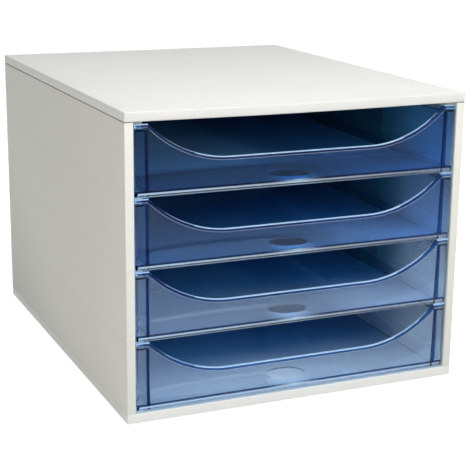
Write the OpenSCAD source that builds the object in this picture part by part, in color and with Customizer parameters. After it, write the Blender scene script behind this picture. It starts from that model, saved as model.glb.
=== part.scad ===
// Desktop unit with four see-through drawers that slide in a pale moulded housing.
// Millimetres. The front faces -Y, +Z is up, and the origin is under the middle of the unit,
// on the surface that its four feet stand on.

/* [Housing] */
// Width of the housing
body_w = 280; // [240:1:330]
// Depth of the housing, front to back
body_d = 348; // [300:1:400]
// Thickness of a side panel, as its front edge shows it
side_t = 6.8; // [6:0.1:9]
// Height of the top panel's edge
top_t = 7.2; // [6.6:0.1:10]
// Height of the bottom panel's edge
bottom_t = 7.2; // [6.6:0.1:10]
// Wall thickness of the moulded panels
skin = 2.6; // [2:0.1:3]
// Thickness of the stiffening ribs inside the panels
rib_t = 2; // [1.2:0.1:3]
// Depth of the ribs under the top panel and inside the bottom panel
rib_h = 3; // [2:0.1:4]
// Thickness of the back panel
back_t = 6; // [5:0.1:10]
// How far the back panel lies in from the rear edges
back_inset = 2; // [1:0.1:6]
// Gap between the back panel and the panels round it
back_gap = 0.3; // [0.2:0.05:0.6]

/* [Pegs] */
// Diameter of the pegs that join the panels
peg_d = 4; // [3:0.1:4.4]
// Length of a peg
peg_l = 3.8; // [2.5:0.1:4]
// Clearance all round a peg in its socket
peg_gap = 0.2; // [0.1:0.05:0.3]
// Wall of the boss round a socket
boss_wall = 1.6; // [1:0.1:1.8]
// Distance of the end pegs from the front and rear edges
peg_inset = 24; // [15:1:40]

/* [Feet] */
// Diameter of a foot
foot_d = 12; // [8:0.5:18]
// How far a foot stands out below the bottom panel
foot_out = 1; // [0.6:0.1:3]
// How deep a foot sits in its cup
foot_in = 2; // [1:0.1:2.8]
// Distance of a foot's middle from the side edges
foot_inset_x = 22; // [18:1:50]
// Distance of a foot's middle from the front and rear edges
foot_inset_y = 22; // [18:1:50]

/* [Drawer front] */
// Height of a drawer front
front_h = 53.4; // [48:0.1:80]
// Thickness of a drawer front
front_t = 2.4; // [2:0.1:3.5]
// Gap between two drawer fronts, one above the other
front_gap = 0.8; // [0.5:0.1:2]
// Gap between a drawer front and the side panels
side_gap = 0.5; // [0.4:0.1:1.5]
// Gap between the lowest drawer front and the bottom panel
low_gap = 1.3; // [1:0.1:3]
// Gap between the highest drawer front and the top panel
high_gap = 2.3; // [1.8:0.1:5]
// Height of a front at the middle of its scoop
scoop_z = 26; // [18:0.5:34]
// Length of the scoop's level middle
scoop_flat = 116; // [60:1:130]
// Radius of the scoop's two curved ends
scoop_r = 88; // [60:1:100]

/* [Drawer tray] */
// Wall thickness of the tray
wall = 2.2; // [1.6:0.1:2.6]
// Thickness of the tray's floor
floor_t = 2; // [1.5:0.1:2.4]
// Height of the floor's top face above the lower edge of the front
floor_z = 4.8; // [4.4:0.1:7]
// Height of the tray's walls above the lower edge of the front
wall_z = 49.2; // [42:0.1:50]
// Distance from the outer face of a side wall to the edge of the front
wing = 7.9; // [7.4:0.1:12]
// Thickness of the flange along the top of a side wall
flange_t = 1.6; // [1.2:0.1:2.4]
// How far the flange and the runner stay inside the edge of the front
runner_inset = 1.4; // [1:0.1:2.5]
// Thickness of the runner's outer lip
lip_t = 1.6; // [1.2:0.1:2.2]
// Height of the runners' lower edges above the lower edge of the front
runner_z = 0.8; // [0.6:0.1:1.4]
// Radius of the fillet between the floor and the walls
fillet_r = 2.5; // [1:0.1:5]
// Gap between the rear of a drawer and the back panel
rear_gap = 6; // [3:0.5:20]
// Length of the thumb hole, across the drawer
thumb_w = 31; // [26:0.5:50]
// Width of the thumb hole, front to back
thumb_l = 24; // [14:0.5:25]
// Distance from the front face to the near edge of the thumb hole
thumb_y = 11; // [8:0.5:30]

/* [Rails and stops] */
// Thickness of a rail
rail_t = 2.6; // [1.8:0.1:2.8]
// Running clearance under the runners
run_gap = 0.3; // [0.2:0.05:0.5]
// Clearance between a rail and the side wall of a drawer
guide_gap = 0.6; // [0.4:0.1:1.2]
// Distance from the front edge to the front end of a rail
rail_front = 4.5; // [4:0.5:10]
// How far a drawer opens before it meets its stops
travel = 240; // [100:1:270]
// Length of a stop, front to back
stop_l = 3; // [2:0.5:6]
// Width of a stop
stop_w = 4; // [2.5:0.5:4.5]
// Height of the stop on a flange
stop_h = 1.8; // [1.2:0.1:2]
// Clearance between two stops that meet, and over the flange
stop_gap = 0.5; // [0.3:0.1:0.6]

/* [Hidden] */
$fn = 64;
drawers = 4;
cut = 1; // how far a cutter runs past the face it cuts

// Heights, from the standing surface up
pitch = front_h + front_gap;
bottom_z = foot_out;
inside_z = bottom_z + bottom_t;
drawer_z0 = inside_z + low_gap;
seam_z = drawer_z0 + drawers * pitch - front_gap + high_gap;
body_top = seam_z + top_t;

// Plan of the housing
front_y = -body_d / 2;
rear_y = body_d / 2;
inside_x = body_w / 2 - side_t;
back_y = rear_y - back_inset - back_t;

// Plan of a drawer
edge_x = inside_x - side_gap;
wall_x = edge_x - wing;
runner_x = edge_x - runner_inset;
drawer_l = back_y - rear_gap - front_y;

// Rails and stops
rail_x = wall_x + guide_gap;
rail_top = runner_z - run_gap;
rail_rear = back_y - 2;
stop_y = front_y + rail_front + stop_l;
stop_x = (wall_x + runner_x) / 2;

// Pegs
peg_x = body_w / 2 - side_t / 2 - 0.6;
boss_r = peg_d / 2 + peg_gap + boss_wall;
peg_ys = [for (i = [0 : 3]) front_y + peg_inset + i * (body_d - 2 * peg_inset) / 3];
back_peg_zs = [for (s = [1, 3]) inside_z + s * (seam_z - inside_z) / 4];
back_peg_y = back_y + back_t / 2;

housing_colour = "whitesmoke";
drawer_colour = [0.16, 0.35, 0.58, 0.75];
foot_colour = "gainsboro";

// Box given by its lowest and highest corners
module block(low, high) {
    translate(low) cube(high - low);
}

// The same thing on the right and, mirrored, on the left
module both_sides() {
    children();
    mirror([1, 0, 0]) children();
}

// Upright edge wall all round a panel, between two heights
module edge_wall(z_low, z_high) {
    difference() {
        block([-body_w / 2, front_y, z_low], [body_w / 2, rear_y, z_high]);
        block(
            [-body_w / 2 + skin, front_y + skin, z_low - cut],
            [body_w / 2 - skin, rear_y - skin, z_high + cut]
        );
    }
}

// Crossed ribs of the top and bottom panels, between two heights
module crossed_ribs(z_low, z_high) {
    for (s = [-1, 1]) {
        block(
            [s * body_w / 6 - rib_t / 2, front_y + skin / 2, z_low],
            [s * body_w / 6 + rib_t / 2, rear_y - skin / 2, z_high]
        );
    }
    for (s = [-1, 0, 1]) {
        block(
            [-body_w / 2 + skin / 2, s * body_d / 4 - rib_t / 2, z_low],
            [body_w / 2 - skin / 2, s * body_d / 4 + rib_t / 2, z_high]
        );
    }
}

module top_panel() {
    color(housing_colour) difference() {
        union() {
            edge_wall(seam_z, body_top);
            block([-body_w / 2, front_y, body_top - skin], [body_w / 2, rear_y, body_top]);
            crossed_ribs(body_top - skin - rib_h, body_top - skin / 2);
            both_sides() for (y = peg_ys) {
                translate([peg_x, y, seam_z]) cylinder(r = boss_r, h = top_t - skin / 2);
            }
        }
        both_sides() for (y = peg_ys) {
            translate([peg_x, y, seam_z - cut])
                cylinder(r = peg_d / 2 + peg_gap, h = peg_l + peg_gap + cut);
        }
    }
}

module bottom_panel() {
    color(housing_colour) difference() {
        union() {
            edge_wall(bottom_z, inside_z);
            block([-body_w / 2, front_y, inside_z - skin], [body_w / 2, rear_y, inside_z]);
            crossed_ribs(inside_z - skin - rib_h, inside_z - skin / 2);
            both_sides() for (y = peg_ys) {
                translate([peg_x, y, bottom_z]) cylinder(r = boss_r, h = bottom_t - skin / 2);
            }
            both_sides() for (s = [-1, 1]) {
                translate([body_w / 2 - foot_inset_x, s * (body_d / 2 - foot_inset_y), bottom_z])
                    cylinder(d = foot_d + 2 * skin, h = bottom_t - skin / 2);
            }
        }
        both_sides() for (y = peg_ys) {
            translate([peg_x, y, inside_z - peg_l - peg_gap])
                cylinder(r = peg_d / 2 + peg_gap, h = peg_l + peg_gap + cut);
        }
        both_sides() for (s = [-1, 1]) {
            translate([body_w / 2 - foot_inset_x, s * (body_d / 2 - foot_inset_y), bottom_z - cut])
                cylinder(d = foot_d, h = foot_in + cut);
        }
    }
}

// Right side panel: skin, edge walls, ribs, five rails with their stops, pegs and sockets
module side_panel() {
    outer_x = body_w / 2;
    color(housing_colour) difference() {
        union() {
            block([outer_x - skin, front_y, inside_z], [outer_x, rear_y, seam_z]);
            block([inside_x, front_y, inside_z], [outer_x, front_y + skin, seam_z]);
            block([inside_x, rear_y - skin, inside_z], [outer_x, rear_y, seam_z]);
            block([inside_x, front_y, inside_z], [outer_x, rear_y, inside_z + skin / 2]);
            block([inside_x, front_y, seam_z - skin], [outer_x, rear_y, seam_z]);
            for (s = [-1, 1]) {
                block(
                    [inside_x, s * body_d / 6 - rib_t / 2, inside_z],
                    [outer_x - skin / 2, s * body_d / 6 + rib_t / 2, seam_z]
                );
            }
            for (i = [0 : drawers]) {
                rail_z = drawer_z0 + i * pitch + rail_top;
                block(
                    [rail_x, front_y + rail_front, max(inside_z, rail_z - rail_t)],
                    [outer_x - skin / 2, rail_rear, rail_z]
                );
            }
            for (i = [0 : drawers - 1]) {
                flange_top = drawer_z0 + i * pitch + wall_z;
                block(
                    [stop_x - stop_w / 2, stop_y - stop_l, flange_top + stop_gap],
                    [outer_x - skin / 2, stop_y, drawer_z0 + (i + 1) * pitch + rail_top]
                );
            }
            for (y = peg_ys) {
                translate([peg_x, y, inside_z - peg_l]) cylinder(d = peg_d, h = peg_l + skin / 2);
                translate([peg_x, y, seam_z - skin / 2]) cylinder(d = peg_d, h = peg_l + skin / 2);
            }
            for (z = back_peg_zs) {
                translate([inside_x, back_peg_y, z]) rotate([0, 90, 0])
                    cylinder(r = boss_r, h = side_t - skin / 2);
            }
        }
        for (z = back_peg_zs) {
            translate([inside_x - cut, back_peg_y, z]) rotate([0, 90, 0])
                cylinder(r = peg_d / 2 + peg_gap, h = peg_l - back_gap + peg_gap + cut);
        }
    }
}

module right_side_panel() {
    side_panel();
}

module left_side_panel() {
    mirror([1, 0, 0]) side_panel();
}

module back_panel() {
    back_x = inside_x - back_gap;
    low = inside_z + back_gap;
    high = seam_z - back_gap;
    color(housing_colour) union() {
        difference() {
            block([-back_x, back_y, low], [back_x, back_y + back_t, high]);
            block(
                [-back_x + skin, back_y - cut, low + skin],
                [back_x - skin, back_y + back_t - skin, high - skin]
            );
        }
        for (s = [-1, 1]) {
            block(
                [s * body_w / 6 - rib_t / 2, back_y, low],
                [s * body_w / 6 + rib_t / 2, back_y + back_t - skin / 2, high]
            );
        }
        both_sides() for (z = back_peg_zs) {
            translate([back_x - skin / 2, back_peg_y, z]) rotate([0, 90, 0])
                cylinder(d = peg_d, h = peg_l + skin / 2);
        }
    }
}

// Front of a drawer, with its scooped upper edge, standing on z = 0
module drawer_front() {
    difference() {
        block([-edge_x, front_y, 0], [edge_x, front_y + front_t, front_h]);
        block(
            [-scoop_flat / 2, front_y - cut, scoop_z],
            [scoop_flat / 2, front_y + front_t + cut, front_h + cut]
        );
        both_sides() translate([scoop_flat / 2, front_y - cut, scoop_z + scoop_r])
            rotate([-90, 0, 0]) cylinder(r = scoop_r, h = front_t + 2 * cut, $fn = 128);
    }
}

// Concave fillet that runs back along the foot of a wall whose inner face is at x
module floor_fillet(x, length) {
    translate([x, front_y + front_t - cut, floor_z]) rotate([-90, 0, 0]) {
        linear_extrude(height = length + cut) difference() {
            translate([-fillet_r, -fillet_r]) square([fillet_r + wall / 2, fillet_r + floor_t / 2]);
            translate([-fillet_r, -fillet_r]) circle(r = fillet_r);
        }
    }
}

// One side of the tray: wall, flange, runner lip, floor fillet and stop
module tray_side() {
    rear = front_y + drawer_l;
    block([wall_x - wall, front_y + front_t / 2, runner_z], [wall_x, rear, wall_z]);
    block([wall_x - wall, front_y + front_t / 2, wall_z - flange_t], [runner_x, rear, wall_z]);
    block([runner_x - lip_t, front_y + front_t / 2, runner_z], [runner_x, rear, floor_z]);
    floor_fillet(wall_x - wall, drawer_l - front_t - wall / 2);
    block(
        [stop_x - stop_w / 2, stop_y + travel + stop_gap, wall_z - flange_t / 2],
        [stop_x + stop_w / 2, stop_y + travel + stop_gap + stop_l, wall_z + stop_h]
    );
}

// Thumb hole: two round ends with a straight stretch between them
module thumb_hole() {
    end_x = (thumb_w - thumb_l) / 2;
    middle_y = front_y + thumb_y + thumb_l / 2;
    both_sides() translate([end_x, middle_y, floor_z - floor_t - cut])
        cylinder(d = thumb_l, h = floor_t + 2 * cut);
    block(
        [-end_x, middle_y - thumb_l / 2, floor_z - floor_t - cut],
        [end_x, middle_y + thumb_l / 2, floor_z + cut]
    );
}

// One drawer in its closed place; place 0 is the lowest of the stack
module drawer(place) {
    rear = front_y + drawer_l;
    color(drawer_colour) translate([0, 0, drawer_z0 + place * pitch]) difference() {
        union() {
            drawer_front();
            block([-runner_x, front_y + front_t / 2, floor_z - floor_t], [runner_x, rear, floor_z]);
            both_sides() tray_side();
            block([-wall_x, rear - wall, floor_z - floor_t], [wall_x, rear, wall_z]);
        }
        thumb_hole();
    }
}

module drawer_1() {
    drawer(3);
}

module drawer_2() {
    drawer(2);
}

module drawer_3() {
    drawer(1);
}

module drawer_4() {
    drawer(0);
}

// Soft foot in its cup; the signs pick its corner
module foot(side_sign, depth_sign) {
    color(foot_colour)
        translate([
            side_sign * (body_w / 2 - foot_inset_x),
            depth_sign * (body_d / 2 - foot_inset_y),
            0
        ])
        cylinder(d = foot_d - 2 * peg_gap, h = foot_out + foot_in);
}

module front_left_foot() {
    foot(-1, -1);
}

module front_right_foot() {
    foot(1, -1);
}

module rear_left_foot() {
    foot(-1, 1);
}

module rear_right_foot() {
    foot(1, 1);
}

top_panel();
bottom_panel();
left_side_panel();
right_side_panel();
back_panel();
drawer_1();
drawer_2();
drawer_3();
drawer_4();
front_left_foot();
front_right_foot();
rear_left_foot();
rear_right_foot();
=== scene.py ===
import math

import bmesh
import bpy
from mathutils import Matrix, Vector


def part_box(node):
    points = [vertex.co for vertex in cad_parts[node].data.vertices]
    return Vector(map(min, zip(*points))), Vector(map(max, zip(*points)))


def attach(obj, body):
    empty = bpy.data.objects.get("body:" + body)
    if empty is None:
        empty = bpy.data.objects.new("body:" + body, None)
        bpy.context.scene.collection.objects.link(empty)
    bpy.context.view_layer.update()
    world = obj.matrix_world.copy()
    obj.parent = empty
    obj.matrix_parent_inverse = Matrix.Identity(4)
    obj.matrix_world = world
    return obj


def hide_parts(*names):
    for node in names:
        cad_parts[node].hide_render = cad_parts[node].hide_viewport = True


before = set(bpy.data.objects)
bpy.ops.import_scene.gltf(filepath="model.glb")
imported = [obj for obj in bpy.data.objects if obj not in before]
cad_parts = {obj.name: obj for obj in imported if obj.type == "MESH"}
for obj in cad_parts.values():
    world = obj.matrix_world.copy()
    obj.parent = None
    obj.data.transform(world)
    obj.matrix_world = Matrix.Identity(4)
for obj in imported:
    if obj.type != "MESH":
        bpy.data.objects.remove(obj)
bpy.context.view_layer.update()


# ---------------------------------------------------------------- top panel
# One moulded plate of warm white plastic, pegged onto the side panels. Its edges are slightly rounded,
# and its front edge has sunk by 2 mm in the middle, as wide thin mouldings do.

mm = 0.001
top_edge_round = 0.7
sag_cuts = range(-6, 7)
sag_cut_pitch = 20.5
front_sag = 2.0
rear_sag = 0.2
white_low = (0.83, 0.83, 0.785)
white_high = (0.87, 0.87, 0.835)
white_roughness = (0.42, 0.54)
cloud_scale = 9
fleck_scale = 650
fleck_depth = 0.14
grain_scale = 1400
grain_strength = 0.25
grain_depth = 0.03


def pick_up(part):
    """Makes the part the only selected object."""
    bpy.ops.object.select_all(action="DESELECT")
    part.select_set(True)
    bpy.context.view_layer.objects.active = part


def panel_copy(node, name):
    """A copy of a housing panel with its triangles merged into whole faces, in edit mode."""
    part = bpy.data.objects.new(name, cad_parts[node].data.copy())
    bpy.context.collection.objects.link(part)
    part.data.materials.clear()
    pick_up(part)
    bpy.ops.object.mode_set(mode="EDIT")
    bpy.ops.mesh.select_all(action="SELECT")
    bpy.ops.mesh.remove_doubles(threshold=0.01 * mm)
    bpy.ops.mesh.dissolve_limited(angle_limit=math.radians(0.5))
    return part


def choose(part, kind, wanted):
    """Selects the faces or edges of the part in edit mode whose corners all suit `wanted`."""
    bpy.ops.mesh.select_all(action="DESELECT")
    bpy.ops.mesh.select_mode(type=kind)
    shape = bmesh.from_edit_mesh(part.data)
    for item in shape.faces if kind == "FACE" else shape.edges:
        item.select_set(wanted([v.co for v in item.verts]))
    bmesh.update_edit_mesh(part.data)


def cut(axis, place):
    """Cuts the part in edit mode right across an axis, at a place in millimetres."""
    bpy.ops.mesh.select_all(action="SELECT")
    bpy.ops.mesh.bisect(
        plane_co=[(axis == name) * place * mm for name in "xyz"],
        plane_no=[float(axis == name) for name in "xyz"],
    )


def round_outer_edges(part, radius):
    """Rounds the edges of the panel's box and the outline of its front face."""
    corners = [v.co for v in part.data.vertices]
    low = [min(c[i] for c in corners) for i in range(3)]
    high = [max(c[i] for c in corners) for i in range(3)]

    def outer(points):
        on_low = [all(abs(p[i] - low[i]) < 0.02 * mm for p in points) for i in range(3)]
        on_high = [all(abs(p[i] - high[i]) < 0.02 * mm for p in points) for i in range(3)]
        return sum(on_low) + sum(on_high) >= 2 or on_low[1]

    choose(part, "EDGE", outer)
    bpy.ops.mesh.bevel(offset=radius * mm, segments=3, clamp_overlap=False, loop_slide=False)


def finish_panel(part, node, material):
    """Leaves edit mode, shades the rounded edges smoothly and puts the part in its node's place."""
    bpy.ops.object.mode_set(mode="OBJECT")
    bpy.ops.object.shade_smooth_by_angle(angle=math.radians(40))
    part.data.materials.append(material)
    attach(part, "housing")
    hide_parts(node)


def new_material(name):
    """A fresh material, its node tree, its shader and the place on the object."""
    material = bpy.data.materials.new(name)
    material.use_nodes = True
    tree = material.node_tree
    place = tree.nodes.new("ShaderNodeTexCoord").outputs["Object"]
    return material, tree, tree.nodes["Principled BSDF"], place


def feed(tree, socket, value):
    """Links the socket to another one, or gives it a plain number or a colour."""
    if isinstance(value, bpy.types.NodeSocket):
        tree.links.new(value, socket)
    else:
        socket.default_value = value + (1,) if isinstance(value, tuple) else value


def maths(tree, operation, *values):
    """The result of one operation on sockets and plain numbers."""
    node = tree.nodes.new("ShaderNodeMath")
    node.operation = operation
    for socket, value in zip(node.inputs, values):
        feed(tree, socket, value)
    return node.outputs["Value"]


def fade(tree, value, start, end, low=0, high=1, smooth=True):
    """Carries a value from the range start to end over to the range low to high."""
    node = tree.nodes.new("ShaderNodeMapRange")
    if smooth:
        node.interpolation_type = "SMOOTHSTEP"
    names = ("Value", "From Min", "From Max", "To Min", "To Max")
    for name, given in zip(names, (value, start, end, low, high)):
        feed(tree, node.inputs[name], given)
    return node.outputs["Result"]


def blend(tree, share, first, second, kind="MIX"):
    """The first colour, changed by the second one as far as the share says."""
    node = tree.nodes.new("ShaderNodeMix")
    node.data_type = "RGBA"
    node.blend_type = kind
    for number, value in zip((0, 6, 7), (share, first, second)):
        feed(tree, node.inputs[number], value)
    return node.outputs[2]


def two_tones(tree, value, low, high, start=0, end=1):
    """A colour that goes from one tone to another with the value."""
    node = tree.nodes.new("ShaderNodeValToRGB")
    for stop, position, tone in zip(node.color_ramp.elements, (start, end), (low, high)):
        stop.position = position
        stop.color = tone + (1,)
    tree.links.new(value, node.inputs["Fac"])
    return node.outputs["Color"]


def speckle(tree, place, scale, detail=2):
    """Uneven spots of about one part in `scale` of a metre."""
    node = tree.nodes.new("ShaderNodeTexNoise")
    node.inputs["Scale"].default_value = scale
    node.inputs["Detail"].default_value = detail
    tree.links.new(place, node.inputs["Vector"])
    return node.outputs["Fac"]


def uneven(tree, place, scale, depth, detail=2):
    """A factor of about 1 that varies by the given depth from spot to spot."""
    return maths(tree, "MULTIPLY_ADD", speckle(tree, place, scale, detail), depth, 1 - depth / 2)


def grain_relief(tree, shader, height, strength, depth):
    """Gives the surface a fine relief of the given depth in millimetres."""
    node = tree.nodes.new("ShaderNodeBump")
    node.inputs["Strength"].default_value = strength
    node.inputs["Distance"].default_value = depth * mm
    tree.links.new(height, node.inputs["Height"])
    tree.links.new(node.outputs["Normal"], shader.inputs["Normal"])


def moulded_white(name, shade=(1, 1, 1), marks=None):
    """Warm white plastic with a fine moulded grain, small flecks and soft cloudiness, darkened by a painted
    shade where one is given.
    """
    material, tree, shader, place = new_material(name)
    clouds = speckle(tree, place, cloud_scale, detail=3)
    low, high = (tuple(a * b for a, b in zip(tone, shade)) for tone in (white_low, white_high))
    colour = two_tones(tree, clouds, low, high, start=0.3, end=0.7)
    flecks = uneven(tree, place, fleck_scale, fleck_depth, detail=1)
    colour = blend(tree, 1, colour, flecks, "MULTIPLY")
    height = speckle(tree, place, grain_scale)
    if marks:
        colour, height = marks(tree, place, colour, height)
    feed(tree, shader.inputs["Base Color"], colour)
    feed(tree, shader.inputs["Roughness"], fade(tree, clouds, 0, 1, *white_roughness, smooth=False))
    grain_relief(tree, shader, height, grain_strength, grain_depth)
    return material


top_panel = panel_copy("top_panel", "top_panel_moulding")
for number in sag_cuts:
    cut("x", number * sag_cut_pitch)
round_outer_edges(top_panel, top_edge_round)
bpy.ops.object.mode_set(mode="OBJECT")
low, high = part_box("top_panel")
bpy.ops.object.add(type="LATTICE", location=(low + high) / 2)
cage = bpy.context.object
cage.scale = high - low
cage.data.points_u = 3
for point in cage.data.points:
    if abs(point.co.x) < 0.1:
        sag = front_sag if point.co.y < 0 else rear_sag
        point.co_deform.z -= sag * mm / cage.scale.z
pick_up(top_panel)
bend = top_panel.modifiers.new("sag", "LATTICE")
bend.object = cage
bpy.ops.object.modifier_apply(modifier=bend.name)
bpy.data.objects.remove(cage)
finish_panel(top_panel, "top_panel", moulded_white("warm_white_top"))


# ---------------------------------------------------------------- bottom panel
# The same moulding turned over, with cups below for the feet. It closes the housing from below.

panel_edge_round = 0.5
bottom_panel = panel_copy("bottom_panel", "bottom_panel_moulding")
round_outer_edges(bottom_panel, panel_edge_round)
finish_panel(bottom_panel, "bottom_panel", moulded_white("warm_white_bottom"))


# ---------------------------------------------------------------- side panels
# Two mouldings, mirrored, each with its rails and stops in one piece. The outer skin has sunk a little
# behind the rails and one rib, which shows as faint lines with a touch of painted shade. A recess makes the
# joint under the top, and painted shade makes it dark.

rail_pitch = 54.2
first_rail_z = 9.2
rib_y = 5
sink_width = 3
sink_depth = 2
sink_painted_shade = (0.98, 0.98, 0.975)
joint_z = 227.0
joint_depth = 1.2
joint_front_depth = 0.5
joint_painted_shade = (0.3, 0.28, 0.24)
# Painted shade: the side panels take a darker copy of the white, for the less light they get than the top.
side_painted_shade = (0.94, 0.94, 0.895)


def axes(tree, place):
    """The x, y and z of a place."""
    node = tree.nodes.new("ShaderNodeSeparateXYZ")
    tree.links.new(place, node.inputs["Vector"])
    return node.outputs


def side_marks(tree, place, colour, height):
    """Sinks the skin at the rails and the rib with a touch of painted shade, and paints shade into the
    joint.
    """
    up = axes(tree, place)["Z"]
    rails_up = maths(tree, "DIVIDE", up, rail_pitch * mm)
    to_rail = maths(tree, "SUBTRACT", rails_up, first_rail_z / rail_pitch - 0.5)
    to_rail = maths(tree, "SUBTRACT", maths(tree, "FRACT", to_rail), 0.5)
    rail = maths(tree, "MULTIPLY", maths(tree, "ABSOLUTE", to_rail), rail_pitch * mm)
    rib = maths(tree, "ABSOLUTE", maths(tree, "SUBTRACT", axes(tree, place)["Y"], rib_y * mm))
    nearest = maths(tree, "MINIMUM", rail, rib)
    sunk = fade(tree, nearest, sink_width * mm, 0.3 * sink_width * mm)
    height = maths(tree, "SUBTRACT", height, maths(tree, "MULTIPLY", sunk, sink_depth))
    colour = blend(tree, sunk, colour, sink_painted_shade, "MULTIPLY")
    in_shaded_joint = maths(tree, "GREATER_THAN", up, (joint_z - 0.03) * mm)
    return blend(tree, in_shaded_joint, colour, joint_painted_shade, "MULTIPLY"), height


def over_joint_line(p):
    return p.z / mm > joint_z - 0.02


for side, inwards in (("left", 1), ("right", -1)):
    node = side + "_side_panel"
    side_panel = panel_copy(node, side + "_side_moulding")
    low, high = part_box(node)
    outer_x = low.x if side == "left" else high.x
    round_outer_edges(side_panel, panel_edge_round)
    for z in (joint_z - 0.05, joint_z):
        cut("z", z)

    def on_side(p):
        return over_joint_line(p) and abs(p.x - outer_x) < (panel_edge_round + 0.02) * mm

    def on_front(p):
        return over_joint_line(p) and p.y < low.y + (panel_edge_round + 0.1) * mm

    choose(side_panel, "FACE", lambda ps: all(on_side(p) for p in ps))
    bpy.ops.transform.translate(value=(inwards * joint_depth * mm, 0, 0))
    choose(side_panel, "FACE", lambda ps: all(on_front(p) for p in ps))
    bpy.ops.transform.translate(value=(0, joint_front_depth * mm, 0))
    finish_panel(side_panel, node, moulded_white("warm_white_" + side, side_painted_shade, side_marks))


# ---------------------------------------------------------------- back panel
# A flat moulding that closes the housing behind and keeps it square, pegged to the side panels.

back_panel = panel_copy("back_panel", "back_panel_moulding")
finish_panel(back_panel, "back_panel", moulded_white("warm_white_back"))


# ---------------------------------------------------------------- drawers
# Four trays of clear blue plastic, each moulded in one piece: a scooped front with full round edges,
# two side walls with a flange above and a runner below, a back wall, and a floor with a thumb hole.
# All sizes are in millimetres, on a drawer that stands on z = 0.

plate_front = -174
plate_rear = -171.6
plate_side = 132.7
plate_top = 53.4
scoop_z = 26
scoop_side = 58
scoop_radius = 88
scoop_end = 121.8
cutter_front = -180
cutter_rear = -165
cutter_top = 160
rim_radius = 2.2
rim_line = 0.35
foot_height = 3.6
floor_line = 5.0
wall_line = (122.5, 124.8)
painted_glow_x = -3
painted_glow_y = -166
painted_glow_reach = 24

tray_front = -172.2
floor_under = 3.8
floor_top = 4.8
wall_inside = 122.6
wall_outside = 124.6
wall_top = 49.2
wall_draft = 1.1
back_inside = 157.8
back_outside = 160
runner_inside = 130.3
runner_side = 131.3
runner_drop = 3
flange_under = 48.1
flange_reach = 6.5
floor_fillet = 2.5
tray_edge_round = 0.3
stop_low = (126.05, 74, 48.4)
stop_high = (130.05, 77, 51)
hole_place = (0, -151, 4)
hole_depth = 20
hole_radius = 12
hole_stretch = 3.5


def block(name, low, high):
    """A box between two corners given in millimetres, still to be shaped."""
    bpy.ops.object.select_all(action="DESELECT")
    bpy.ops.mesh.primitive_cube_add(
        size=1,
        location=[(a + b) / 2 * mm for a, b in zip(low, high)],
        scale=[(b - a) * mm for a, b in zip(low, high)],
    )
    part = bpy.context.object
    part.name = name
    bpy.ops.object.transform_apply(location=True, rotation=True, scale=True)
    return part


def combine(part, other, operation):
    """Joins another solid to the part or cuts it away, and removes the other one."""
    pick_up(part)
    step = part.modifiers.new("combine", "BOOLEAN")
    step.operation = operation
    step.solver = "EXACT"
    step.object = other
    bpy.ops.object.modifier_apply(modifier=step.name)
    bpy.data.objects.remove(other)


def at(value, target):
    """Whether a length of the mesh is the given one in millimetres."""
    return abs(value - target * mm) < 1e-6


def middle(points):
    return sum(points, Vector()) / len(points) / mm


# The plate of the front, with its scoop and its rounded outline
plate = block("drawer_front_plate", (-plate_side, plate_front, 0), (plate_side, plate_rear, plate_top))
scoop_x = scoop_side + scoop_radius
scoop = block(
    "scoop_cutter",
    (-scoop_x, cutter_front, scoop_z),
    (scoop_x, cutter_rear, cutter_top),
)
bpy.ops.object.mode_set(mode="EDIT")
choose(scoop, "EDGE", lambda ps: all(at(p.z, scoop_z) for p in ps) and abs(ps[0].x - ps[1].x) < 1e-6)
bpy.ops.mesh.bevel(offset=scoop_radius * mm, segments=48, clamp_overlap=False)
bpy.ops.object.mode_set(mode="OBJECT")
combine(plate, scoop, "DIFFERENCE")
bpy.ops.object.mode_set(mode="EDIT")
choose(plate, "EDGE", lambda ps: all(at(p.y, plate_front) for p in ps))
bpy.ops.mesh.bevel(offset=rim_radius * mm, segments=6, clamp_overlap=False)
choose(plate, "FACE", lambda ps: all(at(p.y, plate_front) for p in ps))
bpy.ops.mesh.inset(thickness=rim_line * mm)
choose(plate, "FACE", lambda ps: all(at(p.y, plate_rear) for p in ps))
bpy.ops.mesh.inset(thickness=rim_radius * mm)
for x in (painted_glow_x - painted_glow_reach, painted_glow_x, painted_glow_x + painted_glow_reach):
    cut("x", x)
for x in wall_line:
    for side in (-1, 1):
        cut("x", side * x)
for z in (foot_height, floor_line, wall_top):
    cut("z", z)
bpy.ops.object.mode_set(mode="OBJECT")

# The tray, pulled out of its floor slab
tray = block(
    "drawer_tray",
    (-runner_side, tray_front, floor_under),
    (runner_side, back_outside, floor_top),
)
bpy.ops.object.mode_set(mode="EDIT")
for x in (wall_inside, wall_outside, runner_inside):
    for side in (-1, 1):
        cut("x", side * x)
cut("y", back_inside)


def in_walls(points):
    m = middle(points)
    walled = abs(m.x) > wall_inside or m.y > back_inside
    return abs(m.z - floor_top) < 0.01 and abs(m.x) < wall_outside and walled


def under_walls(points):
    m = middle(points)
    return abs(m.z - floor_under) < 0.01 and (
        wall_inside < abs(m.x) < wall_outside or abs(m.x) > runner_inside
    )


choose(tray, "FACE", in_walls)
bpy.ops.mesh.extrude_region_move(TRANSFORM_OT_translate={"value": (0, 0, (wall_top - floor_top) * mm)})
choose(tray, "FACE", under_walls)
bpy.ops.mesh.extrude_region_move(TRANSFORM_OT_translate={"value": (0, 0, -runner_drop * mm)})
cut("z", flange_under)
for side in (-1, 1):
    choose(
        tray,
        "FACE",
        lambda ps: abs(middle(ps).x - side * wall_outside) < 0.01 and middle(ps).z > flange_under,
    )
    bpy.ops.mesh.extrude_region_move(
        TRANSFORM_OT_translate={"value": (side * flange_reach * mm, 0, 0)}
    )

# Walls drawn in at their foot, as the mould needs, with a fillet along the floor
def low_in_wall(p, side):
    return wall_line[0] < side * p.x / mm < wall_line[1] and p.z < floor_line * mm


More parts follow.
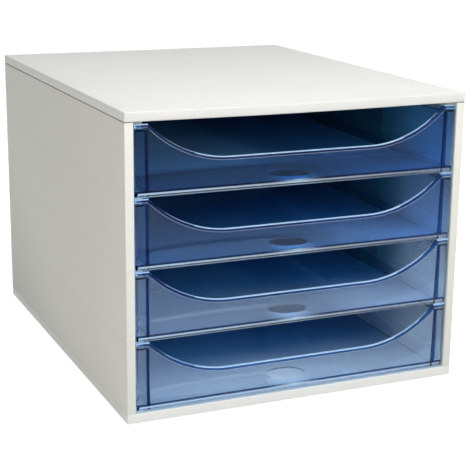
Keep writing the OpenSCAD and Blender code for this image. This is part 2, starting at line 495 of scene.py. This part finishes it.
def at_inner_foot(p):
    at_wall = abs(abs(p.x) / mm - (wall_inside - wall_draft)) < 0.05
    return at_wall and abs(p.z / mm - floor_top) < 0.01 and p.y < (back_inside + 0.2) * mm


for side in (-1, 1):
    choose(tray, "EDGE", lambda ps: all(low_in_wall(p, side) for p in ps))
    bpy.ops.transform.translate(value=(-side * wall_draft * mm, 0, 0))
choose(tray, "EDGE", lambda ps: all(at_inner_foot(p) for p in ps))
bpy.ops.mesh.bevel(offset=floor_fillet * mm, segments=5, clamp_overlap=False)
bpy.ops.object.mode_set(mode="OBJECT")

# Stops that stand on the flanges
for side in (-1, 1):
    x = sorted((side * stop_low[0], side * stop_high[0]))
    combine(tray, block("stop", (x[0], *stop_low[1:]), (x[1], *stop_high[1:])), "UNION")

# Soft edges all round the tray
soften = tray.modifiers.new("soften", "BEVEL")
soften.width = tray_edge_round * mm
soften.segments = 2
soften.limit_method = "ANGLE"
soften.angle_limit = math.radians(50)
pick_up(tray)
bpy.ops.object.modifier_apply(modifier=soften.name)

# Plate and tray are one moulding, and the thumb hole goes through its floor
combine(plate, tray, "UNION")
bpy.ops.object.select_all(action="DESELECT")
bpy.ops.mesh.primitive_cylinder_add(
    vertices=64,
    radius=hole_radius * mm,
    depth=hole_depth * mm,
    location=[a * mm for a in hole_place],
)
hole = bpy.context.object
bpy.ops.object.transform_apply(location=True, rotation=True, scale=True)
bpy.ops.object.mode_set(mode="EDIT")
for side in (-1, 1):
    choose(hole, "EDGE", lambda ps: all(side * p.x > 0.01 * mm for p in ps))
    bpy.ops.transform.translate(value=(side * hole_stretch * mm, 0, 0))
bpy.ops.object.mode_set(mode="OBJECT")
combine(plate, hole, "DIFFERENCE")


# The mould is polished outside and finely etched inside, so the inner faces are satin. A clear margin
# runs round the rear of the plate, and its ridge, its foot and the line inside its round edge get painted
# highlights, the foot's fading to the right. The faces before the walls and the floor, and the upward faces
# of the round edge, are painted dark, since there the eye looks along the plastic, but for a painted glow in
# the middle of the floor's line, where light gathers under the thumb hole.

corner_x = 130
line_satin = 0.6
floor_line_painted_dark = 0.9
floor_line_painted_glow = 0.8
ridge_painted_highlight = 1.0
rim_line_painted_highlight = 0.45
foot_line_painted_highlight = 1.0
foot_painted_highlight = (0.0, 0.15, 1.0, 1.0, 1.0, 1.0)
foot_highlight_fade = 0.8
foot_painted_glow = 0.3


def margin(point):
    """How far a point of the plate lies inside its outline."""
    x = abs(point.x)
    on_arc = math.hypot(x - scoop_side, scoop_z + scoop_radius - point.z) - scoop_radius
    scoop_edge = scoop_z - point.z if x < scoop_side else on_arc
    top_edge = plate_top - point.z if x > scoop_end else scoop_edge
    return min(plate_side - x, point.z, top_edge)


def painted_highlight_level(n, c, corners):
    """How strong the painted highlight on the round edge of the plate is at a face, at its left end."""
    if c.y > plate_rear or abs(n.x) > 0.9:
        return 0
    if n.z > 0.75:
        return ridge_painted_highlight
    if n.z < -0.05:
        return foot_painted_highlight[min(int(math.degrees(math.asin(-n.z)) / 15), 5)]
    on_front = abs(n.y) > 0.99
    if on_front and c.z < foot_height and abs(c.x) < corner_x:
        return foot_line_painted_highlight
    if on_front and all(margin(p) < rim_radius + rim_line + 0.1 for p in corners + [c]):
        return 0 if abs(c.x) > corner_x else rim_line_painted_highlight
    return 0


# The last two marks carry the painted dark lines and the painted highlights of the plate's edges.
for mark, domain in (("satin", "FACE"), ("zone", "FACE"), ("deep", "CORNER"), ("pale", "CORNER")):
    plate.data.attributes.new(mark, "FLOAT", domain)
satin = plate.data.attributes["satin"]
zone = plate.data.attributes["zone"]
deep = plate.data.attributes["deep"]
pale = plate.data.attributes["pale"]
for face in plate.data.polygons:
    n = face.normal
    c = face.center / mm
    corners = [plate.data.vertices[i].co / mm for i in face.vertices]
    in_margin = all(margin(p) < rim_radius + 0.2 for p in corners + [c])
    rear_of_plate = n.y > 0.9 and abs(c.y - plate_rear) < 0.5 and not in_margin
    top_of_floor = n.z > 0.9 and abs(c.z - floor_top) < 0.3
    on_wall = abs(c.x) < wall_inside + 0.9 and floor_line < c.z < wall_top - 0.2
    inside_of_walls = on_wall and abs(n.x) > 0.6 and n.x * c.x < 0
    front_of_back = n.y < -0.9 and abs(c.y - back_inside) < 0.3
    on_front = n.y < -0.99 and c.y < plate_front + 0.1 and c.z > foot_height
    before_wall = on_front and wall_line[0] < abs(c.x) < wall_line[1] and c.z < wall_top
    before_floor = on_front and c.z < floor_line
    inner = rear_of_plate or top_of_floor or inside_of_walls or front_of_back
    satin.data[face.index].value = 1.0 if inner else line_satin if before_wall or before_floor else 0.0
    zone.data[face.index].value = 0.0 if rear_of_plate else 0.5 if top_of_floor else 1.0
    facing_up = 0.05 < n.z < 0.75 and abs(n.x) < 0.98
    on_round_edge = facing_up and c.y < plate_rear - 0.1 and c.z > floor_line
    depth = 1.0 if on_round_edge or before_wall else floor_line_painted_dark if before_floor else 0.0
    level = painted_highlight_level(n, c, corners)
    for loop in face.loop_indices:
        x = plate.data.vertices[plate.data.loops[loop].vertex_index].co.x / mm
        at_middle = abs(x - painted_glow_x) < 0.1
        faded = 1 - foot_highlight_fade * (x / (2 * plate_side) + 0.5) + (foot_painted_glow if at_middle else 0)
        pale.data[loop].value = level * faded if c.z < foot_height else level
        deep.data[loop].value = depth
        if before_floor and at_middle:
            pale.data[loop].value = floor_line_painted_glow
            deep.data[loop].value = 0.0


# The plastic itself, with painted light and shade: each drawer has its own tint and haze, from dark above to
# light below, for the light that falls on it, though all four are the same plastic. They are given for the
# rear of the plate, the top of the floor and the walls, and for the front of the floor ("front"). "arch" and
# "curve" are painted shadows of the rim in the haze, "left" and "paler" the painted light on the left of the
# floor.

drawer_pitch = 54.2 * mm
lowest_drawer_z = 9.5 * mm
painted_light_looks = (
    {
        "plate": ((0.12, 0.42, 0.82), 0.045), "floor": ((0.12, 0.4, 0.78), 0.44), "front": 0.13,
        "walls": ((0.03, 0.15, 0.26), 0.18), "arch": -1.0, "curve": 0.8, "left": 3.4, "paler": 0.5,
    },
    {
        "plate": ((0.38, 0.62, 0.92), 0.06), "floor": ((0.1, 0.4, 0.8), 0.28), "front": 0.26,
        "walls": ((0.03, 0.16, 0.28), 0.18), "arch": -1.0, "curve": 0.6, "left": 1.3, "paler": 0.05,
    },
    {
        "plate": ((0.72, 0.84, 0.97), 0.14), "floor": ((0.11, 0.43, 0.8), 0.29), "front": 0.28,
        "walls": ((0.06, 0.22, 0.36), 0.18), "arch": 0.6, "curve": 0.5, "left": 1.45, "paler": 0.15,
    },
    {
        "plate": ((0.84, 0.93, 1.0), 0.145), "floor": ((0.16, 0.43, 0.72), 0.31), "front": 0.24,
        "walls": ((0.4, 0.6, 0.8), 0.25), "arch": 0.5, "curve": 0.5, "left": 1.2, "paler": 0.1,
    },
)
gloss = 0.12
floor_gloss = 0.8
haze_grain_scale = 900
haze_grain_depth = 0.3
polished_roughness = 0.02
plate_roughness = 0.03
etched_roughness = 0.12
painted_pool_haze = 0.65
front_end = (-145, -80)
painted_left_light = (45, -40)
painted_light_tint = (0.55, 0.85, 1.0)
painted_highlight_colour = (0.52, 0.76, 1.0)
painted_highlight_clearness = 0.2
deep_edge = (0.01, 0.07, 0.3)
depth_colour = (0.0, 0.46, 0.99)
depth_density = 38
lamp_light_through = (0.5, 0.66, 0.8)

arch_x = -60
arch_z = 17
arch_bend = 0.00058
arch_edge = (1.9, 1.1)
arch_end = (40, -30)
curve_x = 65
curve_z = 7.5
curve_bend = 0.0035
curve_edge = (1.2, -0.6)
curve_growth = (10, 75)


def rim_marks(tree, place, foot_z):
    """Marks in the haze for the shadow of the rim: a low arch on the left, a rising curve on the right."""
    across = maths(tree, "DIVIDE", axes(tree, place)["X"], mm)
    up = maths(tree, "DIVIDE", axes(tree, place)["Z"], mm)
    height = maths(tree, "SUBTRACT", up, foot_z / mm)
    from_top = maths(tree, "ADD", across, -arch_x)
    drop = maths(tree, "MULTIPLY", maths(tree, "MULTIPLY", from_top, from_top), arch_bend)
    off = maths(tree, "ABSOLUTE", maths(tree, "SUBTRACT", height, maths(tree, "SUBTRACT", arch_z, drop)))
    arch = maths(tree, "MULTIPLY", fade(tree, off, *arch_edge), fade(tree, across, *arch_end))

    past = maths(tree, "MAXIMUM", maths(tree, "SUBTRACT", across, curve_x), 0)
    rise = maths(tree, "MULTIPLY", maths(tree, "MULTIPLY", past, past), curve_bend)
    above = maths(tree, "SUBTRACT", height, maths(tree, "ADD", curve_z, rise))
    curve = maths(tree, "MULTIPLY", fade(tree, above, *curve_edge), fade(tree, across, *curve_growth))
    return arch, curve


def painted_light_pool(tree, place):
    """Painted light: more haze on the floor below the thumb hole, for the light that gathers there."""
    flat = tree.nodes.new("ShaderNodeCombineXYZ")
    for axis in "XY":
        feed(tree, flat.inputs[axis], axes(tree, place)[axis])
    apart = tree.nodes.new("ShaderNodeVectorMath")
    apart.operation = "DISTANCE"
    apart.inputs[1].default_value = (painted_glow_x * mm, painted_glow_y * mm, 0)
    feed(tree, apart.inputs[0], flat.outputs["Vector"])
    return fade(tree, apart.outputs["Value"], painted_glow_reach * mm, 0, 0, painted_pool_haze)


def mesh_mark(tree, name):
    """The value that the mesh carries under this name."""
    node = tree.nodes.new("ShaderNodeAttribute")
    node.attribute_name = name
    return node.outputs["Fac"]


def by_zone(tree, zone, *values):
    """One number or colour for the plate, one for the floor and one for the walls."""
    node = tree.nodes.new("ShaderNodeValToRGB")
    node.color_ramp.interpolation = "CONSTANT"
    node.color_ramp.elements[1].position = 0.25
    node.color_ramp.elements.new(0.75)
    for stop, value in zip(node.color_ramp.elements, values):
        stop.color = (value if isinstance(value, tuple) else (value,) * 3) + (1,)
    tree.links.new(zone, node.inputs["Fac"])
    return node.outputs["Color"]


def between(tree, share, first, second):
    """The number that lies between two others as far as the share says."""
    node = tree.nodes.new("ShaderNodeMix")
    for name, value in zip(("Factor", "A", "B"), (share, first, second)):
        feed(tree, node.inputs[name], value)
    return node.outputs["Result"]


def clear_blue(name, look, foot_z):
    """Clear blue polystyrene: glossy outside, satin inside, painted dark where it is seen edge-on, with
    painted highlights on its round edge and the painted light and shadow that the drawer's look gives.
    """
    material, tree, shader, place = new_material(name)
    shader.inputs["IOR"].default_value = 1.5
    etched, part, painted_dark_share, painted_rim_highlight = (mesh_mark(tree, mark) for mark in ("satin", "zone", "deep", "pale"))
    tints, hazes = zip(*(look[where] for where in ("plate", "floor", "walls")))
    on_floor = by_zone(tree, part, 0, 1, 0)

    # Gloss and roughness
    feed(tree, shader.inputs["Specular Tint"], by_zone(tree, part, gloss, floor_gloss, gloss))
    etch = by_zone(tree, part, plate_roughness, etched_roughness, etched_roughness)
    roughness = fade(tree, etched, 0, 1, polished_roughness, etch, smooth=False)
    feed(tree, shader.inputs["Roughness"], roughness)

    # Tint and haze, which differ at the front of the tray and in its depth
    start, end = front_end
    from_front = fade(tree, axes(tree, place)["Y"], start * mm, end * mm)
    tint = blend(tree, from_front, look["plate"][0], by_zone(tree, part, *tints))
    front_haze = by_zone(tree, part, look["plate"][1], look["front"], look["front"])
    haze = between(tree, from_front, front_haze, by_zone(tree, part, *hazes))
    arch, curve = rim_marks(tree, place, foot_z)
    grainy = uneven(tree, place, haze_grain_scale, haze_grain_depth)
    banded = maths(tree, "MULTIPLY_ADD", arch, look["arch"], 1)
    curved = maths(tree, "MULTIPLY_ADD", curve, look["curve"], banded)
    haze = maths(tree, "MULTIPLY", maths(tree, "MULTIPLY", grainy, curved), haze)

    # Painted light on the left of the floor, and a painted pool of light below the thumb hole
    extra = look["left"] - 1
    start, end = painted_left_light
    to_left = fade(tree, axes(tree, place)["X"], start * mm, end * mm, 0, extra)
    gain = maths(tree, "MULTIPLY", to_left, from_front)
    paler = maths(tree, "MULTIPLY", maths(tree, "MULTIPLY", gain, on_floor), look["paler"] / extra)
    tint = blend(tree, paler, tint, painted_light_tint)
    left_haze = maths(tree, "MULTIPLY_ADD", haze, gain, haze)
    floor_haze = maths(tree, "ADD", left_haze, painted_light_pool(tree, place))
    haze = between(tree, on_floor, haze, floor_haze)
    clearness = maths(tree, "SUBTRACT", 1, maths(tree, "MULTIPLY", haze, etched))
    clearness = fade(tree, painted_rim_highlight, 0, 1, clearness, painted_highlight_clearness, smooth=False)
    feed(tree, shader.inputs["Transmission Weight"], clearness)

    colour = blend(tree, etched, (1, 1, 1), tint)
    colour = blend(tree, painted_rim_highlight, colour, painted_highlight_colour)
    colour = blend(tree, painted_dark_share, colour, deep_edge)
    feed(tree, shader.inputs["Base Color"], colour)

    # Blue in the depth of the plastic, and lamp light that comes through tinted
    output = tree.nodes["Material Output"]
    depth = tree.nodes.new("ShaderNodeVolumeAbsorption")
    depth.inputs["Color"].default_value = depth_colour + (1,)
    depth.inputs["Density"].default_value = depth_density
    feed(tree, output.inputs["Volume"], depth.outputs["Volume"])
    path = tree.nodes.new("ShaderNodeLightPath")
    let_through = tree.nodes.new("ShaderNodeBsdfTransparent")
    let_through.inputs["Color"].default_value = lamp_light_through + (1,)
    choice = tree.nodes.new("ShaderNodeMixShader")
    feed(tree, choice.inputs["Fac"], path.outputs["Is Shadow Ray"])
    feed(tree, choice.inputs[1], shader.outputs["BSDF"])
    feed(tree, choice.inputs[2], let_through.outputs["BSDF"])
    feed(tree, output.inputs["Surface"], choice.outputs["Shader"])
    return material


for number, look in enumerate(painted_light_looks, 1):
    foot_z = lowest_drawer_z + (len(painted_light_looks) - number) * drawer_pitch
    drawer = bpy.data.objects.new("drawer_%d_moulding" % number, plate.data.copy())
    bpy.context.collection.objects.link(drawer)
    pick_up(drawer)
    drawer.location = (0, 0, foot_z)
    bpy.ops.object.transform_apply(location=True, rotation=True, scale=True)
    bpy.ops.object.shade_smooth_by_angle(angle=math.radians(35))
    drawer.data.materials.append(clear_blue("clear_blue_%d" % number, look, foot_z))
    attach(drawer, "drawer_%d" % number)
    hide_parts("drawer_%d" % number)
bpy.data.objects.remove(plate)


# ---------------------------------------------------------------- feet
# Four soft rubber feet pressed into the cups under the bottom panel, with a rounded rim and a shallow
# dish below.

foot_edge_round = 0.5
foot_rim = 1.6
foot_dish = 0.3
rubber_low = (0.50, 0.50, 0.47)
rubber_high = (0.60, 0.60, 0.57)
rubber_roughness = 0.85
skin_scale = 900
skin_strength = 0.4
skin_depth = 0.05


def soft_rubber(name):
    """Pale grey rubber with a fine uneven skin."""
    material, tree, shader, place = new_material(name)
    skin = speckle(tree, place, skin_scale)
    feed(tree, shader.inputs["Base Color"], two_tones(tree, skin, rubber_low, rubber_high))
    shader.inputs["Roughness"].default_value = rubber_roughness
    grain_relief(tree, shader, skin, skin_strength, skin_depth)
    return material


rubber = soft_rubber("foot_rubber")
for node in ("front_left_foot", "front_right_foot", "rear_left_foot", "rear_right_foot"):
    low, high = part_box(node)
    bpy.ops.object.select_all(action="DESELECT")
    bpy.ops.mesh.primitive_cylinder_add(
        vertices=48, radius=(high.x - low.x) / 2, depth=high.z - low.z, location=(low + high) / 2
    )
    foot = bpy.context.object
    foot.name = node + "_pad"
    bpy.ops.object.transform_apply(location=True, rotation=True, scale=True)
    bpy.ops.object.mode_set(mode="EDIT")
    choose(foot, "FACE", lambda ps: all(p.z < low.z + 1e-6 for p in ps))
    bpy.ops.mesh.bevel(offset=foot_edge_round * mm, segments=4, clamp_overlap=False)
    choose(foot, "FACE", lambda ps: len(ps) > 8 and all(p.z < low.z + 1e-6 for p in ps))
    bpy.ops.mesh.inset(thickness=foot_rim * mm)
    bpy.ops.mesh.inset(thickness=foot_dish * mm)
    bpy.ops.transform.translate(value=(0, 0, foot_dish * mm))
    bpy.ops.object.mode_set(mode="OBJECT")
    bpy.ops.object.shade_smooth_by_angle(angle=math.radians(50))
    foot.data.materials.append(rubber)
    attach(foot, "housing")
    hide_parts(node)


# ---------------------------------------------------------------- floor
# Plain pale floor, white as the camera, reflections and clear plastic see it. It keeps the shadow.

floor_tone = 0.8
floor_roughness = 0.9
floor_whiteness = 0.78


def seen_directly(tree):
    """1 for a ray of the camera, a reflection or a ray through clear plastic, 0 for the object's light."""
    path = tree.nodes.new("ShaderNodeLightPath").outputs
    first = maths(tree, "MAXIMUM", path["Is Camera Ray"], path["Is Glossy Ray"])
    return maths(tree, "MAXIMUM", first, path["Is Transmission Ray"])


bpy.ops.object.select_all(action="DESELECT")
bpy.ops.mesh.primitive_plane_add(size=16, location=(0, 0, 0))
floor = bpy.context.object
floor.name = "floor"
paper = bpy.data.materials.new("pale_paper")
paper.use_nodes = True
tree = paper.node_tree
shader = tree.nodes["Principled BSDF"]
shader.inputs["Base Color"].default_value = (floor_tone, floor_tone, floor_tone, 1)
shader.inputs["Roughness"].default_value = floor_roughness
shader.inputs["Specular IOR Level"].default_value = 0
glow = tree.nodes.new("ShaderNodeEmission")
feed(tree, glow.inputs["Strength"], maths(tree, "MULTIPLY", seen_directly(tree), floor_whiteness))
total = tree.nodes.new("ShaderNodeAddShader")
feed(tree, total.inputs[0], shader.outputs["BSDF"])
feed(tree, total.inputs[1], glow.outputs["Emission"])
feed(tree, tree.nodes["Material Output"].inputs["Surface"], total.outputs["Shader"])
floor.data.materials.append(paper)


# ---------------------------------------------------------------- light
# An even white room, a large soft lamp in front, to the right and above, a smaller one over the top
# panel, and a weak one that lifts the left side.

room_strength = 0.32
white = (1, 1, 1, 1)
world = bpy.data.worlds.new("white_room")
bpy.context.scene.world = world
world.use_nodes = True
tree = world.node_tree
room = tree.nodes["Background"]
room.inputs["Strength"].default_value = room_strength
room.inputs["Color"].default_value = white
backdrop = tree.nodes.new("ShaderNodeBackground")
backdrop.inputs["Color"].default_value = white
backdrop.inputs["Strength"].default_value = 1
choice = tree.nodes.new("ShaderNodeMixShader")
feed(tree, choice.inputs["Fac"], seen_directly(tree))
feed(tree, choice.inputs[1], room.outputs["Background"])
feed(tree, choice.inputs[2], backdrop.outputs["Background"])
feed(tree, tree.nodes["World Output"].inputs["Surface"], choice.outputs["Shader"])


def soft_lamp(name, place, aim, size, power):
    """A square soft lamp turned towards a point."""
    light = bpy.data.lights.new(name, "AREA")
    light.shape = "SQUARE"
    light.size = size
    light.energy = power
    lamp = bpy.data.objects.new(name, light)
    bpy.context.collection.objects.link(lamp)
    lamp.location = place
    lamp.visible_camera = False
    lamp.rotation_euler = (Vector(aim) - Vector(place)).to_track_quat("-Z", "Y").to_euler()


soft_lamp("key_lamp", (1.1, -1.8, 1.4), (0, 0, 0.1), 1.0, 10.8)
soft_lamp("top_lamp", (0.1, -0.55, 1.0), (0, -0.1, 0.2), 0.6, 5.1)
soft_lamp("left_lamp", (-0.65, -0.7, 0.35), (-0.14, -0.13, 0.12), 0.4, 1.12)


# ---------------------------------------------------------------- camera
# A long lens from the front left, a little above the top, as in the photograph.

lens = bpy.data.cameras.new("camera")
lens.lens = 97.47
camera = bpy.data.objects.new("camera", lens)
bpy.context.collection.objects.link(camera)
camera.location = (-0.4200, -1.0074, 0.3799)
camera.rotation_euler = [math.radians(a) for a in (75.14, -0.62, -23.50)]
bpy.context.scene.camera = camera
bpy.context.scene.view_settings.view_transform = "Standard"
